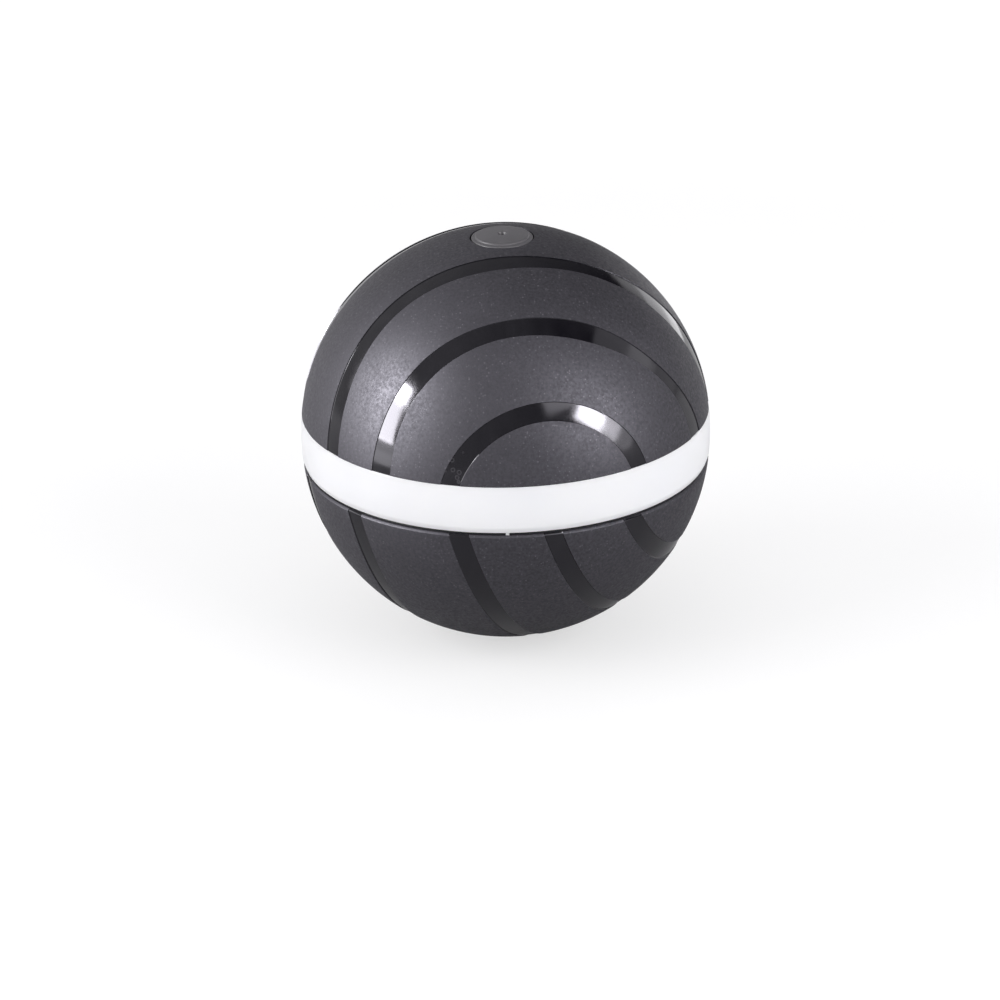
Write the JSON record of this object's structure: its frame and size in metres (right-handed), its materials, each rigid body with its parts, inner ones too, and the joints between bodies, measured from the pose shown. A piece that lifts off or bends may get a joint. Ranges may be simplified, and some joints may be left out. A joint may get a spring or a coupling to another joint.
{
  "type": "self-rolling pet ball",
  "caption": "Ball of striped caps and a light band that rolls by itself, driven by a motor core with a counterweight hung inside, with a power button and a covered charging socket.",
  "frame": {"origin": "centre of the ball, on the axis it rolls about, halfway between the two poles", "axes": "+Z along the rolling axis and out through the power button, -Y towards the counterweight and the motor inside, +X to the right as the button is seen from above"},
  "size_m": [0.08, 0.08, 0.0815],
  "materials": {
    "shell_plastic": "fine sparked texture, with polished stripes in the same moulding",
    "band_plastic": "satin, milky and translucent",
    "soft_grey": "soft-touch silicone, satin",
    "seal_rubber": "matt",
    "housing_plastic": "matt moulded",
    "bearing_plastic": "natural acetal, satin",
    "screw_steel": "zinc plated",
    "pin_steel": "ground",
    "motor_steel": "drawn and plated",
    "magnet_ferrite": "matt",
    "armature_iron": "wound with enamelled wire",
    "pinion_brass": "cut",
    "weight_steel": "matt, zinc plated",
    "battery_foil": "satin foil pouch",
    "pad_foam": "closed foam",
    "board_green": "solder mask, satin",
    "chip_black": "matt",
    "lamp_clear": "clear over a yellow chip",
    "contact_tin": "tinned",
    "lead_red": "satin sleeve"
  },
  "bodies": {
    "shell": {"upper_shell": "shell_plastic", "lower_shell": "shell_plastic", "light_ring": "band_plastic", "seam_gasket": "seal_rubber", "upper_ring_seal": "seal_rubber", "lower_ring_seal": "seal_rubber", "drive_hub": "bearing_plastic", "lower_hub": "bearing_plastic", "drive_hub_screws": "screw_steel", "lower_hub_screws": "screw_steel", "button_return_ring": "seal_rubber"},
    "power_button": {"power_button": "soft_grey", "button_clip": "pin_steel"},
    "port_plug": {"port_plug": "soft_grey"},
    "core": {"gear_case": "housing_plastic", "gear_case_cover": "housing_plastic", "cover_screws": "screw_steel", "gear_arbors": "pin_steel", "upper_thrust_washer": "bearing_plastic", "lower_thrust_washer": "bearing_plastic", "motor_can": "motor_steel", "motor_end_cap": "housing_plastic", "motor_terminals": "contact_tin", "motor_magnets": "magnet_ferrite", "motor_strap": "motor_steel", "motor_strap_screws": "screw_steel", "motor_leads": "lead_red", "main_board": "board_green", "board_chips": "chip_black", "light_emitters": "lamp_clear", "cradle": "housing_plastic", "core_screws": "screw_steel", "counterweight": "weight_steel", "counterweight_screws": "screw_steel", "battery_cell": "battery_foil", "battery_pad": "pad_foam", "battery_leads": "lead_red", "switch_board": "board_green", "switch_body": "chip_black", "switch_leads": "lead_red", "port_board": "board_green", "charge_socket": "contact_tin", "socket_tongue": "chip_black", "port_leads": "lead_red"},
    "switch_plunger": {"switch_plunger": "lamp_clear"},
    "second_reduction_gear": {"second_reduction_gear": "bearing_plastic"},
    "first_reduction_gear": {"first_reduction_gear": "bearing_plastic"},
    "motor_rotor": {"motor_shaft": "pin_steel", "motor_armature": "armature_iron", "motor_pinion": "pinion_brass"}
  },
  "joints": [
    {"name": "core_turn", "type": "hinge", "parent": "shell", "child": "core", "pos_m": [0, 0, 0], "axis": [0, 0, 1], "continuous": true},
    {"name": "button_press", "type": "slide", "parent": "shell", "child": "power_button", "axis": [0, 0, -1], "range_m": [0, 0.0004], "stiffness_N_per_m": 2000, "springref_m": -0.0003, "deforming": ["button_return_ring"]},
    {"name": "plug_pull", "type": "slide", "parent": "shell", "child": "port_plug", "axis": [0, 0, -1], "range_m": [0, 0.012]},
    {"name": "plunger_press", "type": "slide", "parent": "core", "child": "switch_plunger", "axis": [0, 0, -1], "range_m": [0, 0.0003]},
    {"name": "second_gear_spin", "type": "hinge", "parent": "core", "child": "second_reduction_gear", "pos_m": [0.01583, -0.00856, 0], "axis": [0, 0, 1], "continuous": true},
    {"name": "first_gear_spin", "type": "hinge", "parent": "core", "child": "first_reduction_gear", "pos_m": [0.00488, -0.01207, 0], "axis": [0, 0, 1], "continuous": true},
    {"name": "motor_spin", "type": "hinge", "parent": "core", "child": "motor_rotor", "pos_m": [0, -0.0208, 0], "axis": [0, 0, 1], "continuous": true}
  ],
  "couplings": [
    {"joint": "second_gear_spin", "follows": "core_turn", "ratio": 4},
    {"joint": "first_gear_spin", "follows": "core_turn", "ratio": -14.4},
    {"joint": "motor_spin", "follows": "core_turn", "ratio": 57.6},
    {"joint": "plunger_press", "follows": "button_press", "ratio": 0.75}
  ]
}
